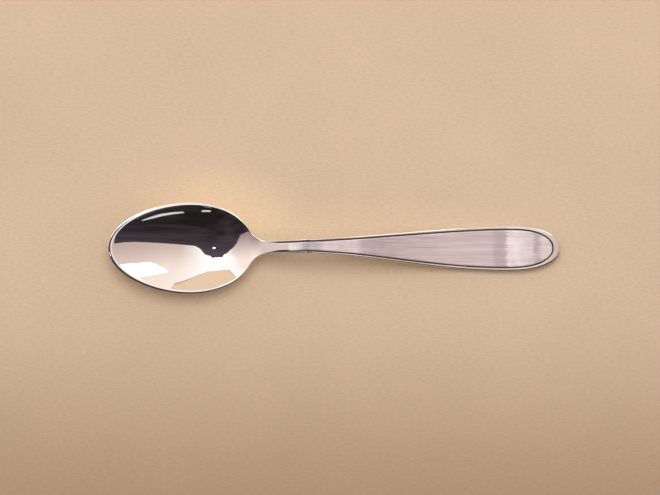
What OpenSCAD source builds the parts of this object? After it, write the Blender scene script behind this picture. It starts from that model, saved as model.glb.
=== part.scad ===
// Demitasse spoon, lying on a table with its hollow side up.
// The bowl points to -X and the handle to +X, and the middle plane is Y = 0.
// The origin is on the table, under the middle of the spoon's length.
// Below, s is the distance from the tip of the bowl along the spoon.

/* [Overall] */
// Length from the tip of the bowl to the end of the handle
overall_length = 110; // [100:0.5:125]

/* [Bowl] */
// Length of the bowl from its tip to the shoulder
bowl_length = 35.4; // [32:0.2:40]
// Width across the rim of the bowl
bowl_width = 22.2; // [19:0.2:26]
// How much fuller the outline is towards the handle
bowl_egg = 0.11; // [0:0.01:0.2]
// Depth of the hollow below the rim
bowl_depth = 4.8; // [4.6:0.1:7]
// How much deeper the hollow is towards the handle
bowl_lean = 0.15; // [0:0.05:0.4]
// How much fuller the hollow is towards its ends
bowl_fill = 0.05; // [-0.1:0.05:0.3]
// Wall thickness at the bottom of the bowl
bowl_wall = 1.1; // [0.8:0.05:1.5]
// Width of the rim at the sides of the bowl
rim_width = 0.7; // [0.4:0.05:1.2]
// Width of the rim at the tip of the bowl
rim_tip = 1; // [0.5:0.05:1.6]
// Thickness of the rim at its outer edge
rim_edge = 0.8; // [0.6:0.05:1.1]
// Height that the rim's top loses towards its outer edge
rim_drop = 0.14; // [0.05:0.01:0.25]
// Height that the rim gains from the tip to the shoulder, less than 0 for a raised tip
rim_rise = -1.5; // [-2.5:0.1:2]

/* [Neck] */
// Width of the neck
neck_width = 3.2; // [2.8:0.1:4.5]
// Thickness of the neck
neck_thickness = 2.6; // [2:0.1:3.4]
// Radius between the bowl's outline and the neck
neck_fillet = 5.4; // [3:0.2:7]
// Length of the straight neck after that radius
neck_length = 5.6; // [2:0.1:8]
// Length over which the bowl's back thickens to the neck
heel_length = 7; // [5:0.5:14]
// Distance over which the hollow runs out into the neck
shoulder_round = 2.6; // [1:0.1:4]
// Distance before the shoulder at which the rim starts to rise
rise_lead = 3; // [0:0.5:6]

/* [Handle] */
// Greatest width of the handle
handle_width = 11; // [9:0.2:14]
// Thickness of the handle at its end
handle_thickness = 1.9; // [1.5:0.1:2.6]
// Length of the rounded end
end_length = 12.8; // [9:0.2:18]
// Fullness of the rounded end, where 2 is an ellipse
end_fullness = 2.3; // [2:0.1:3]
// Height of the arch of the handle above the rim
arch_rise = 4.9; // [1:0.1:6]
// Distance from the shoulder to the top of the arch
arch_distance = 14.5; // [10:0.5:26]
// Length of the bend at the top of the arch
arch_round = 4.5; // [3:0.5:10]
// Length of the flat back before the rounded end, which lies on the table
rest_length = 7; // [6:0.5:14]
// Height that the rounded end lifts off the table
tip_lift = 0.8; // [0:0.1:2]
// Radius along the edges of the back
back_round = 0.6; // [0.3:0.05:0.8]

/* [Border] */
// Width of the polished border along the neck
border_neck = 0.32; // [0.25:0.01:0.6]
// Width of the polished border along the sides of the handle
border_side = 0.65; // [0.4:0.05:1]
// Width of the polished border at the end of the handle
border_tip = 1.6; // [0.6:0.05:2.2]
// Height that the border loses towards its outer edge
border_drop = 0.4; // [0.2:0.05:0.6]
// Width of the dark line inside the border
line_width = 0.35; // [0.2:0.05:0.5]
// Depth of the dark line below the panel
line_depth = 0.12; // [0.05:0.01:0.25]
// Thickness of the satin panel inside the line
panel_thickness = 0.6; // [0.4:0.05:0.9]
// Bevel along the upper edge of the panel
panel_bevel = 0.08; // [0.02:0.01:0.15]

/* [Hidden] */

// Facets: sections along each piece, and points along each stretch of a section
bowl_sections = 46;
neck_sections = 7;
shaft_sections = 18;
rest_sections = 3;
end_sections = 18;
hollow_points = 13;
back_points = 10;
round_points = 3;
solve_steps = 30;

neck_half = neck_width/2;
handle_half = handle_width/2;

// The egg outline is an ellipse whose width grows along it, so its crest is a little behind the middle
egg_crest = bowl_egg == 0 ? 0 : (sqrt(1 + 8*bowl_egg^2) - 1)/(4*bowl_egg);
egg_gain = (1 + bowl_egg*egg_crest)*sqrt(1 - egg_crest^2);
outer_half = bowl_width/2/egg_gain;
inner_half = (bowl_width/2 - rim_width)/egg_gain;

function mix(a, b, t) = a + (b - a)*t;
function smooth(t) = let (c = min(max(t, 0), 1)) c*c*(3 - 2*c);
function hermite(t, a, slope_a, b, slope_b) =
    a*(2*t^3 - 3*t^2 + 1) + slope_a*(t^3 - 2*t^2 + t) + b*(3*t^2 - 2*t^3) + slope_b*(t^3 - t^2);

// Half width of the bowl's egg outline, and its slope
function egg_u(s) = 2*s/bowl_length - 1;
function egg_width(s) = let (u = egg_u(s)) outer_half*(1 + bowl_egg*u)*sqrt(max(1 - u^2, 0));
function egg_slope(s) =
    let (u = egg_u(s), root = sqrt(1 - u^2))
    outer_half*(bowl_egg*root - (1 + bowl_egg*u)*u/root)*2/bowl_length;

// The fillet touches the egg where a circle outside it also touches the neck
function fillet_miss(s) = egg_width(s) + neck_fillet/sqrt(1 + egg_slope(s)^2) - neck_half - neck_fillet;
function fillet_touch(low, high, steps) =
    let (middle = (low + high)/2)
    steps == 0 ? middle
    : fillet_miss(middle) > 0 ? fillet_touch(middle, high, steps - 1)
    : fillet_touch(low, middle, steps - 1);
fillet_start = fillet_touch(bowl_length/2, bowl_length*0.9999, solve_steps);
fillet_slope = egg_slope(fillet_start);
fillet_end = fillet_start - neck_fillet*fillet_slope/sqrt(1 + fillet_slope^2);

// Stations along the spoon
neck_start = bowl_length + shoulder_round;
taper_start = fillet_end + neck_length;
end_start = overall_length - end_length;
heel_start = bowl_length - heel_length;
rise_start = bowl_length - rise_lead;
arch_top = bowl_length + arch_distance;
bend_start = arch_top - arch_round;
rest_start = end_start - rest_length;

// Half width of the whole outline
function taper(s) = smooth((s - taper_start)/(end_start - taper_start));
function end_width(t) = handle_half*(1 - min(t, 1)^end_fullness)^(1/end_fullness);
function half_width(s) =
    s <= fillet_start ? egg_width(s)
    : s <= fillet_end ? neck_half + neck_fillet - sqrt(neck_fillet^2 - (fillet_end - s)^2)
    : s <= end_start ? mix(neck_half, handle_half, taper(s))
    : end_width((s - end_start)/end_length);

// Share of the full depth of an egg-shaped hollow: 1 at the deepest, 0 on its outline, less outside.
// It leans to the handle by a power that lets its slope still grow all the way to the tip
lean_power = 2;
function fill_share(u, v) = (1 - u^2 - v^2)*(1 + bowl_fill*u^2)/(1 - bowl_lean*u)^lean_power;
fill_peak = max([for (u = [-1:0.01:1]) fill_share(u, 0)]);
function egg_share(s, y, start, half) =
    let (u = 2*(s - start)/(bowl_length - start) - 1)
    fill_share(u, y/(half*(1 + bowl_egg*u)))/fill_peak;
function hollow_share(s) = egg_share(s, 0, rim_tip, inner_half);
function belly_share(s, y) = s < neck_start ? max(egg_share(s, y, 0, outer_half), 0) : 0;

// The blank is thin at the bowl, thickest at the neck and thinner again at the handle's end
function heel(s) = smooth((s - heel_start)/(neck_start - heel_start));
function thickness(s) =
    mix(neck_thickness, handle_thickness, smooth((s - taper_start)/(rest_start - taper_start)));

// A depth that settles on 0 along a parabola of half depth k, instead of cutting it at a sharp edge
crisp_round = 0.02;
function settle(depth, k) = depth <= -k ? 0 : depth >= k ? depth : (depth + k)^2/(4*k);

// The back is the belly of the bowl or the stem of the neck, whichever is deeper, with a soft heel between
heel_share = 0.5;
function stem(s) = (thickness(s) - rim_edge)*heel(s);
function belly(s, y) = (bowl_depth + bowl_wall - rim_edge)*belly_share(s, y);
function back_depth(s, y) =
    rim_edge + stem(s) + settle(belly(s, y) - stem(s), max(crisp_round, heel_share*stem(s)));

// The hollow's edge is an egg inside the rim, and over the shoulder it follows the fillet into the neck
function inner_egg(s) =
    let (u = 2*(s - rim_tip)/(bowl_length - rim_tip) - 1)
    inner_half*(1 + bowl_egg*u)*sqrt(max(1 - u^2, 0));
function inner_fillet(s) = half_width(s) - mix(rim_width, border_neck, heel(s));
function hollow_width(s) =
    let (join = smooth((s - heel_start)/(fillet_start - heel_start)))
    max(mix(inner_egg(s), inner_fillet(s), join), crisp_round);

// Along the middle the hollow runs out softly to end at the neck, and across it is a parabola with a crisp edge
shoulder_settle = -bowl_depth*hollow_share(neck_start);
function hollow_middle(s) =
    settle(bowl_depth*hollow_share(s), mix(crisp_round, shoulder_settle, heel(s)));
function hollow_depth(s, y) =
    settle(hollow_middle(s)*(1 - (y/hollow_width(s))^2), crisp_round*(1 - heel(s)));

// Rays in plan run from the middle plane out to the outline, and fan round the tip and the end
fan_tip = bowl_length/4;
fan_power = 1.8;
fan_end = overall_length - handle_half;
fan_rate = end_length/(fan_end - end_start);
function foot(s) =
    s < neck_start ? mix(fan_tip, neck_start, (acos(1 - s/neck_start)/90)^fan_power)
    : s < end_start ? s
    : fan_end - (fan_end - end_start)*(1 - (s - end_start)/end_length)^fan_rate;
function ray(s) =
    let (out = [s - foot(s), half_width(s)])
    [foot(s), out/norm(out), norm(out), s];
function ray_s(r, t) = r[0] + t*r[1].x;
function ray_y(r, t) = t*r[1].y;
function ray_point(r, t, z) = [ray_s(r, t) - overall_length/2, ray_y(r, t), z];

bowl_stations = [for (i = [0:bowl_sections]) neck_start*(1 - cos(90*i/bowl_sections))];
neck_stations = [for (i = [0:neck_sections]) mix(neck_start, taper_start, i/neck_sections)];
shaft_stations = [for (i = [0:shaft_sections - 1]) mix(taper_start, rest_start, i/shaft_sections)];
rest_stations = [for (i = [0:rest_sections - 1]) mix(rest_start, end_start, i/rest_sections)];
end_stations = [for (i = [0:end_sections]) end_start + end_length*sin(90*i/end_sections)];
handle_stations = concat(shaft_stations, rest_stations, end_stations);
panel_stations = concat([for (i = [0:neck_sections - 1]) neck_stations[i]], handle_stations);

// Height of the rim and of the top of the handle, with the lowest point of the bowl on the table
rim_slope = rim_rise/bowl_length;
tip_height = -min([for (s = bowl_stations) rim_slope*foot(s) - back_depth(foot(s), 0)]);
rise_height = tip_height + rim_slope*rise_start;
arch_height = rise_height + arch_rise;

// The neck rises at one slope between two bends. A bend turns a slope from 0 to 1 by a smooth step
function bend(s, start, end) =
    let (t = min(max((s - start)/(end - start), 0), 1))
    (end - start)*(t^3 - t^4/2) + max(s - end, 0);
shoulder_bend = (rise_start + neck_start)/2;
arch_bend = (bend_start + arch_top)/2;
neck_slope = (arch_rise - rim_slope*(shoulder_bend - rise_start))/(arch_bend - shoulder_bend);
function top(s) =
    s <= arch_top ? tip_height + rim_slope*s
        + (neck_slope - rim_slope)*bend(s, rise_start, neck_start)
        - neck_slope*bend(s, bend_start, arch_top)
    : s <= rest_start ? hermite((s - arch_top)/(rest_start - arch_top),
        arch_height, 0, handle_thickness, 0)
    : s <= end_start ? handle_thickness
    : handle_thickness + tip_lift*sin(90*min((s - end_start)/end_length, 1));

// Widths of the domed rim or border outside the hollow or the line, measured along a ray
rim_dome = 0.6;
function border(r) =
    let (side = r[3] < neck_start ? mix(rim_width*rim_dome, border_neck, heel(r[3]))
        : mix(border_neck, border_side, taper(r[3])))
    let (tip = r[3] < neck_start ? mix(rim_tip*rim_dome, border_neck, heel(r[3]))
        : mix(border_neck, border_tip, taper(r[3])))
    side*r[1].y^2 + tip*r[1].x^2;

// Outer skin of a section: down over the dome, round the lower edge and on to the back.
// The rim is a round dome, and the handle's border is flatter with a tighter edge
thickest_round = 0.4;
lower_round = 0.1;
border_square = 0.5;
function drop(s) = min(mix(rim_drop, border_drop, heel(s)), thickest_round*thickness(s));
function edge_round(s) = min(mix(lower_round, back_round, heel(s)), thickest_round*thickness(s));
function dome_power(s) = mix(1, border_square, heel(s));
function top_point(r, t, depth) = ray_point(r, t, top(ray_s(r, t)) - depth);
function back_point(r, t, lift) = top_point(r, t, back_depth(ray_s(r, t), ray_y(r, t)) - lift);
function skin_points(r) =
    let (wide = border(r), round = edge_round(r[3]), power = dome_power(r[3]))
    concat(
        [for (i = [0:round_points]) let (a = 90*i/round_points)
            top_point(r, r[2] - wide*(1 - sin(a)^power), drop(r[3])*(1 - cos(a)^power))],
        [for (i = [0:round_points]) let (a = 90*i/round_points)
            back_point(r, r[2] - round*(1 - cos(a)), round*(1 - sin(a)))]
    );

// Where a ray meets the inner edge of the rim
function rim_miss(r, t) = min(ray_s(r, t) - rim_tip, hollow_width(ray_s(r, t)) - ray_y(r, t));
function rim_reach(r, low, high, steps) =
    let (middle = (low + high)/2)
    steps == 0 ? middle
    : rim_miss(r, middle) > 0 ? rim_reach(r, middle, high, steps - 1)
    : rim_reach(r, low, middle, steps - 1);
shoulder_reach = 0.9;

// Half sections, from the middle plane or the pocket's floor round to the back
function bowl_section(s) =
    let (r = ray(s), land = shoulder_reach*(r[2] - border(r)))
    let (edge = mix(rim_reach(r, 0, r[2], solve_steps), land, heel(s)))
    let (inset = r[2] - edge_round(s))
    concat(
        [for (i = [0:hollow_points]) let (t = edge*i/hollow_points)
            top_point(r, t, hollow_depth(ray_s(r, t), ray_y(r, t)))],
        skin_points(r),
        [for (i = [1:back_points]) back_point(r, inset*(1 - i/back_points), 0)]
    );

function frame_section(s) =
    let (r = ray(s))
    concat([top_point(r, r[2] - border(r), panel_thickness)], skin_points(r));

function panel_section(s) =
    let (r = ray(s), edge = r[2] - border(r) - line_width)
    [
        top_point(r, edge - panel_bevel, 0),
        top_point(r, edge, panel_bevel),
        top_point(r, edge, panel_thickness)
    ];

function line_section(s) =
    let (r = ray(s), wall = r[2] - border(r), edge = wall - line_width)
    [
        top_point(r, edge, line_depth),
        top_point(r, wall, line_depth),
        top_point(r, wall, panel_thickness),
        top_point(r, edge, panel_thickness)
    ];

function mirrored(p) = [p.x, -p.y, p.z];
function joined(lists) = [for (list = lists) each list];
function turned(face) = [for (i = [len(face) - 1:-1:0]) face[i]];
function quad(a, b, c, d) = [[a, b, c], if (c != d) [a, c, d]];

// Solid along closed sections, with flat ends or drawn together to a point on the middle plane
module swept(sections, pointed) {
    rows = len(sections);
    count = len(sections[0]);
    function at(i, j) = i*count + (pointed && i == rows - 1 ? min(j, count - 1 - j) : j);
    sides = [for (i = [0:rows - 2], j = [0:count - 1]) let (k = (j + 1)%count)
        each quad(at(i, j), at(i, k), at(i + 1, k), at(i + 1, j))];
    first = turned([for (j = [0:count - 1]) at(0, j)]);
    last = [for (j = [0:count - 1]) at(rows - 1, j)];
    polyhedron(joined(sections), concat(sides, [first], pointed ? [] : [last]));
}

// Both halves of a section as one loop
function whole(half) = concat(half, [for (i = [len(half) - 1:-1:0]) mirrored(half[i])]);

// Solid over half sections that start and end on the middle plane, from a flat end to the tip
module shell(sections) {
    rows = len(sections);
    count = len(sections[0]);
    function shared(i, j) = i == rows - 1 || j == 0 || j == count - 1;
    function at(left, i, j) = i*count + j + (left && !shared(i, j) ? rows*count : 0);
    function side_cell(left, i, j) =
        let (a = at(left, i, j), b = at(left, i, j + 1))
        let (c = at(left, i + 1, j + 1), d = at(left, i + 1, j))
        j < count/2 ? quad(b, c, d, a) : quad(a, b, c, d);
    function end_cell(left, j) =
        let (k = count - 1 - j)
        quad(at(left, 0, j), at(left, 0, k), at(left, 0, k - 1), at(left, 0, j + 1));
    sides = [for (left = [false, true], i = [0:rows - 2], j = [0:count - 2])
        for (face = side_cell(left, i, j)) left ? face : turned(face)];
    end = [for (left = [false, true], j = [0:count/2 - 2])
        for (face = end_cell(left, j)) left ? face : turned(face)];
    both_halves = concat(sections, [for (section = sections) [for (p = section) mirrored(p)]]);
    polyhedron(joined(both_halves), concat(sides, end));
}

module bowl() {
    color("silver")
        shell([for (i = [bowl_sections:-1:0]) bowl_section(bowl_stations[i])]);
}

module neck() {
    color("silver")
        swept([for (s = neck_stations) whole(frame_section(s))], false);
}

module handle() {
    color("silver")
        swept([for (s = handle_stations) whole(frame_section(s))], true);
}

module handle_panel() {
    color("lightgray")
        swept([for (s = panel_stations) whole(panel_section(s))], true);
}

module border_line() {
    right = [for (s = panel_stations) line_section(s)];
    left = [for (i = [len(right) - 2:-1:0]) [for (p = right[i]) mirrored(p)]];
    color("dimgray")
        swept(concat(right, left), false);
}

bowl();
neck();
handle();
handle_panel();
border_line();
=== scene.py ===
"""Demitasse spoon: smooth surfaces, finishes and a small studio around the packed CAD frame."""

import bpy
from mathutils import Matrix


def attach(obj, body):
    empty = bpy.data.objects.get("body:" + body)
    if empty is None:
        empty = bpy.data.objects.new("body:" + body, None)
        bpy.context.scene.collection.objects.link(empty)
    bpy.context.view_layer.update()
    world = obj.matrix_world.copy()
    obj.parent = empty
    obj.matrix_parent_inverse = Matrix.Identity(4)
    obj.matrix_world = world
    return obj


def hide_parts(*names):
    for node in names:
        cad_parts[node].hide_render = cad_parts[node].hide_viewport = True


bl_info = {
    "name": "Demitasse Spoon",
    "version": (1, 0, 0),
    "blender": (4, 5, 0),
    "location": "View3D > Sidebar > Spoon",
    "description": "Builds a polished coffee spoon with a brushed handle panel, and the studio it lies in",
    "category": "Add Mesh",
}

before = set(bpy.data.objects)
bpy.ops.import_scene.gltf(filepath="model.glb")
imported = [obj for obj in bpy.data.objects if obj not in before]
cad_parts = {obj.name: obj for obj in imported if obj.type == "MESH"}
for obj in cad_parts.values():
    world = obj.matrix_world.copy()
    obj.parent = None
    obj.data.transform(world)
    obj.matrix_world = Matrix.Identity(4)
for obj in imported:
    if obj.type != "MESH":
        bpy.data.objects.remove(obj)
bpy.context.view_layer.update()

import math

import bpy
import numpy as np
from bpy.props import FloatProperty, FloatVectorProperty, PointerProperty
from mathutils import Matrix

QUARTER = math.pi/2
IMAGE_WIDTH = 660
SENSOR = 36.0

# Steps and limits of the slopes and searches that are worked out by numbers
STEP = 1e-4
TINY = 1e-6
NEVER_ZERO = 1e-30
SOLVE_STEPS = 40
FILL_SAMPLES = 401
BACK_SAMPLES = 2001

# Shares and powers that shape the surfaces
FAN_POWER = 1.8
LEAN_POWER = 2
RIM_DOME = 0.6
RIM_ZONE = 2.2
ZONE_SHARE = 0.48
SHOULDER_REACH = 0.97
HEEL_SHARE = 0.5
THICKEST_ROUND = 0.4
BORDER_SQUARE = 0.5
SQUARE_POWER = 4
LINE_SEED = 0.1
LINE_HOLLOW = 0.3

# Small roundings in metres
LOWER_ROUND = 1e-4
CRISP_ROUND = 2e-5
SHOULDER_EVEN = 7e-4

# Steps of the grids along the spoon, the handle's as far as its rounded end and round it
BOWL_RAYS = 150
NECK_RAYS = 30
HANDLE_RAYS = (110, 60)
PANEL_RAYS = (140, 60)

# Steps of the grids across the spoon
HOLLOW_STEPS = 60
RIM_STEPS = 14
LAND_STEPS = 3
RIM_DOME_STEPS = 10
RIM_EDGE_STEPS = 8
BOWL_BACK_STEPS = 44
INNER_EDGE_STEPS = 5
BORDER_DOME_STEPS = 12
LOWER_EDGE_STEPS = 10
HANDLE_BACK_STEPS = 10
PANEL_STEPS = 24
PANEL_EDGE_STEPS = 6
LINE_STEPS = 6

# Waves of the finishes' noise to the metre, along X, Y and Z
CLOUD_WAVES = (140, 140, 140)
POLISH_WAVES = (60, 3200, 1600)
HAIR_WAVES = (90, 5200, 2600)
FINE_WAVES = (70, 9000, 400)
BROAD_WAVES = (45, 2600, 200)
PATCH_WAVES = (420, 420, 420)
SPECK_WAVES = (700, 2600, 2600)
FIBRE_WAVES = (900, 2600, 1)
STAIN_WAVES = (30, 30, 1)
FOLD_WAVES = (2, 7, 3)

# Stretches of the panel, in metres behind the brushing's start: where each begins, is full, fades and ends,
# and how much lighter or darker it is. They are partly brushing tones and partly painted reflections.
PANEL_TONES_AND_REFLECTIONS = ((-0.001, -0.0005, 0.0018, 0.0036, 1.6), (0.0030, 0.0040, 0.0066, 0.0082, -0.85),
               (0.0080, 0.0092, 0.0160, 0.0172, 0.42), (0.0168, 0.0184, 0.0220, 0.0270, -0.65),
               (0.0494, 0.0508, 0.0526, 0.0531, -0.7), (0.0532, 0.0536, 0.0556, 0.0605, 0.75),
               (0.0596, 0.0602, 0.0608, 0.0618, -0.9), (0.0612, 0.0620, 0.0680, 0.0700, 0.3))

# Sockets of a Mix node that mixes colours
MIX_A, MIX_B, MIX_RESULT = 6, 7, 2

# The studio hangs on domes about the bowl. Its corners are given by the plan parts of their directions.
ROOM_RADIUS = 1.0
CLOTH_RADIUS = 0.97
CARD_RADIUS = 0.9
SEAM_RADIUS = 0.88
ROOM_STEPS = (72, 18)
CLOTH_STEPS = (160, 40)
CARD_STEPS = 12
BOARD_STEPS = 9
CENTRE_OVERALL, CENTRE_BOWL, CENTRE_HEIGHT = 0.55, 1.6, 0.004
CLOTH_EDGE = ((-0.9, -0.425), (-0.815, -0.425), (-0.785, -0.42), (-0.765, -0.34), (-0.755, -0.21),
              (-0.735, -0.11), (-0.682, 0.024), (-0.622, 0.12), (-0.558, 0.241), (-0.485, 0.33),
              (-0.455, 0.42), (-0.25, 0.44), (-0.215, 0.345), (-0.135, 0.30), (-0.057, 0.06), (0.02, -0.068),
              (0.157, -0.105), (0.366, -0.144), (0.48, -0.157), (0.565, -0.158), (0.623, -0.124),
              (0.671, -0.055), (0.98, -0.02))
BOARD_EDGE = ((0.112, 0.972), (-0.05, 0.902), (-0.202, 0.822), (-0.35, 0.788), (-0.501, 0.754),
              (-0.545, 0.80))

# White cards: name, radius and four corners
WHITE_CARDS = (("tall_card", 0.985, ((-0.21, 0.36), (-0.56, 0.30), (-0.50, 0.752), (-0.202, 0.82))),
               ("side_card", CARD_RADIUS, ((0.62, 0.66), (0.423, 0.559), (0.239, 0.811), (0.42, 0.90))))
SPARK_RADIUS = 0.85
SPARK_LEVEL = 6.0
SPARK_CORNERS = ((-0.278, -0.004), (-0.322, -0.004), (-0.322, 0.042), (-0.278, 0.042))

# Strips: name, radius, width or widths along it, and path
SEAMS = (("left_seam", SEAM_RADIUS, 0.012, ((-0.545, 0.815), (-0.501, 0.754))),
         ("floor_seam", SEAM_RADIUS, (0.006, 0.009, 0.012),
          ((-0.202, 0.822), (-0.05, 0.902), (0.112, 0.972))),
         ("corner_seam", 0.98, 0.005, ((-0.21, 0.36), (-0.202, 0.822))))
FRONT_LEVEL = 0.8
FRONT_STRIPS = (("long_strip", CARD_RADIUS, (0.006, 0.016, 0.019, 0.016, 0.01),
                 ((0.407, -0.757), (0.329, -0.822), (0.25, -0.873), (0.155, -0.91), (0.063, -0.931))),
                ("short_strip", CARD_RADIUS, 0.011, ((-0.124, -0.944), (-0.18, -0.941), (-0.228, -0.934))))

# The soft lamp overhead, and the paper just under the spoon
LAMP_DIRECTION = (0.08, 0.25, 0.96)
LAMP_DISTANCE = 0.6
LAMP_SIZE = 0.34
FLOOR_HALF = 2
FLOOR_STEPS = 8
FLOOR_GAP = 0.00003
NEAR_CLIP = 0.001


def length(name, description, default):
    """A length in metres."""
    return FloatProperty(name=name, description=description, default=default, unit="LENGTH", precision=5)


def share(name, description, default):
    """A plain number from 0 to 1."""
    return FloatProperty(name=name, description=description, default=default, min=0, max=1, subtype="FACTOR")


def number(name, description, default):
    """A plain number."""
    return FloatProperty(name=name, description=description, default=default)


def colour(name, description, default):
    """A linear colour."""
    return FloatVectorProperty(name=name, description=description, default=default, size=3, min=0, max=1,
                               subtype="COLOR")


class SpoonSizes(bpy.types.PropertyGroup):
    """Sizes of the spoon, the same as in the CAD source."""

    overall_length: length("Overall length", "From the tip of the bowl to the end of the handle", 0.110)
    bowl_length: length("Bowl length", "From the tip of the bowl to the shoulder", 0.0354)
    bowl_width: length("Bowl width", "Width across the rim of the bowl", 0.0222)
    bowl_egg: share("Bowl egg", "How much fuller the outline is towards the handle", 0.11)
    bowl_depth: length("Bowl depth", "Depth of the hollow below the rim", 0.0048)
    bowl_lean: share("Bowl lean", "How much deeper the hollow is towards the handle", 0.15)
    bowl_fill: number("Bowl fill", "How much fuller the hollow is towards its ends", 0.05)
    bowl_wall: length("Bowl wall", "Wall thickness at the bottom of the bowl", 0.0011)
    rim_width: length("Rim width", "Width of the rim at the sides of the bowl", 0.0007)
    rim_tip: length("Rim at the tip", "Width of the rim at the tip of the bowl", 0.001)
    rim_edge: length("Rim edge", "Thickness of the rim at its outer edge", 0.0008)
    rim_drop: length("Rim drop", "Height that the rim's top loses towards its outer edge", 0.00014)
    rim_rise: length("Rim rise", "Height that the rim gains from the tip to the shoulder", -0.0015)
    rim_soft: length("Rim softness", "Half depth of the rounding between the rim and the hollow", 0.00013)
    neck_width: length("Neck width", "Width of the neck", 0.0032)
    neck_thickness: length("Neck thickness", "Thickness of the neck", 0.0026)
    neck_fillet: length("Neck fillet", "Radius between the bowl's outline and the neck", 0.0054)
    neck_length: length("Neck length", "Length of the straight neck", 0.0056)
    heel_length: length("Heel length", "Length over which the bowl's back thickens to the neck", 0.007)
    shoulder_round: length("Shoulder round", "Distance over which the hollow runs out into the neck", 0.0026)
    rise_lead: length("Rise lead", "Distance before the shoulder at which the rim starts to rise", 0.003)
    handle_width: length("Handle width", "Greatest width of the handle", 0.011)
    handle_thickness: length("Handle thickness", "Thickness of the handle at its end", 0.0019)
    end_length: length("End length", "Length of the rounded end", 0.0128)
    end_fullness: number("End fullness", "Fullness of the rounded end, where 2 is an ellipse", 2.3)
    arch_rise: length("Arch rise", "Height of the arch of the handle above the rim", 0.0049)
    arch_distance: length("Arch distance", "From the shoulder to the top of the arch", 0.0145)
    arch_round: length("Arch round", "Length of the bend at the top of the arch", 0.0045)
    rest_length: length("Rest length", "Length of the flat back before the rounded end", 0.007)
    tip_lift: length("Tip lift", "Height that the rounded end lifts off the table", 0.0008)
    back_round: length("Back round", "Radius along the edges of the back", 0.0006)
    border_neck: length("Border at the neck", "Width of the polished border along the neck", 0.00032)
    border_side: length("Border at the sides", "Width of the polished border along the handle", 0.00065)
    border_tip: length("Border at the end", "Width of the polished border at the handle's end", 0.0016)
    border_drop: length("Border drop", "Height that the border loses towards its outer edge", 0.0004)
    line_width: length("Line width", "Width of the dark line inside the border", 0.00035)
    line_depth: length("Line depth", "Depth of the dark line below the panel", 0.00012)
    line_start: length("Line start", "Length over which the line grows to its full width", 0.004)
    panel_thickness: length("Panel thickness", "Thickness of the brushed panel", 0.0006)
    panel_round: length("Panel round", "Width of the rounding along the panel's upper edge", 0.00024)
    panel_drop: length("Panel drop", "Height that the panel loses along that rounding", 0.00007)
    border_round: length("Border round", "Radius along the border's inner edge", 0.00007)


class SpoonFinishes(bpy.types.PropertyGroup):
    """Colours and gloss of the spoon's finishes."""

    mirror_colour: colour("Mirror steel", "Colour of the mirror polished bowl", (0.90, 0.885, 0.875))
    mirror_roughness: share("Mirror roughness", "Roughness of the mirror polished bowl", 0.035)
    polish_colour: colour("Polished steel", "Colour of the neck, the border and the back", (0.90, 0.88, 0.87))
    polish_roughness: share("Polish roughness", "Roughness of the neck, the border and the back", 0.12)
    panel_colour: colour("Brushed panel", "Colour of the brushed panel", (0.955, 0.865, 0.893))
    panel_shade: colour("Brush shade", "Colour in the deeper brush marks", (0.61, 0.53, 0.555))
    panel_roughness: share("Panel roughness", "Roughness of the brushed panel", 0.32)
    panel_matt: share("Panel haze", "Share of matt haze that the brushing leaves", 0.3)
    panel_grain: share("Panel grain", "How far the brushing stretches a highlight across the handle", 0.9)
    brushing_start: length("Brushing start", "From the tip of the bowl to where the brushing begins", 0.0438)
    line_colour: colour("Dark line", "Colour of the darkened line", (0.06, 0.036, 0.03))


class SpoonStage(bpy.types.PropertyGroup):
    """The camera, and the studio's colours and lamp."""

    distance: length("Camera distance", "From the camera to the point it looks at", 0.4)
    tilt: FloatProperty(name="Camera tilt", description="Lean of the camera from straight down",
                        default=math.radians(5.0), subtype="ANGLE")
    roll: FloatProperty(name="Camera roll", description="Turn of the camera about its own line of sight",
                        default=math.radians(-0.144), subtype="ANGLE")
    target: FloatVectorProperty(name="Camera target", description="Point that the camera looks at",
                                default=(-0.00125, 0.00018, 0.004), size=3, subtype="TRANSLATION")
    scale: number("Image scale", "Pixels in the image for one metre at the target", 4104.8)
    floor_colour: colour("Paper", "Colour of the paper floor", (0.711, 0.551, 0.397))
    # Painted shade: the paper's colour towards the front, where less light falls
    painted_floor_shade: colour("Paper in front", "Colour of the paper towards the front", (0.437, 0.302, 0.198))
    # Painted light: the paper's colour where the spoon throws light on it
    painted_floor_glow: colour("Paper behind", "Colour of the paper where the spoon throws light on it",
                       (0.90, 0.68, 0.465))
    wall_colour: colour("Back wall", "Colour of the studio at the back", (0.93, 0.775, 0.687))
    ceiling_colour: colour("Ceiling", "Colour of the studio overhead", (0.64, 0.49, 0.443))
    shade_colour: colour("Right wall", "Colour of the studio at the right", (0.39, 0.295, 0.263))
    left_colour: colour("Left wall", "Colour of the studio at the left, towards the back",
                        (0.966, 0.80, 0.734))
    front_colour: colour("Left wall in front", "Colour of the studio at the left, towards the front",
                         (0.30, 0.215, 0.203))
    room_level: number("Studio level", "Brightness of the studio's walls", 1.15)
    world_colour: colour("Air", "Colour of the light from all round", (1.0, 0.9, 0.8))
    world_level: number("Air level", "Brightness of the light from all round", 0.5)
    cloth_colour: colour("Cloth", "Colour of the dark cloth in front", (0.016, 0.013, 0.012))
    cloth_fold: colour("Cloth overhead", "Colour of the dark cloth overhead", (0.09, 0.07, 0.086))
    card_colour: colour("Cards", "Colour of the white cards", (1.0, 0.97, 0.95))
    card_level: number("Card level", "Brightness of the white cards", 3.5)
    board_colour: colour("Board", "Colour of the buff board low at the back", (0.80, 0.58, 0.415))
    frame_colour: colour("Seams", "Colour of the seams between the studio's walls", (0.45, 0.36, 0.33))
    lamp_level: number("Key lamp", "Brightness of the soft lamp overhead", 5.0)


def mix(a, b, t):
    """Straight mix of a and b."""
    return a + (b - a)*t


def smooth(t):
    """Smooth step: 3t^2 - 2t^3, held at 0 and 1."""
    c = np.clip(t, 0, 1)
    return c*c*(3 - 2*c)


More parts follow.
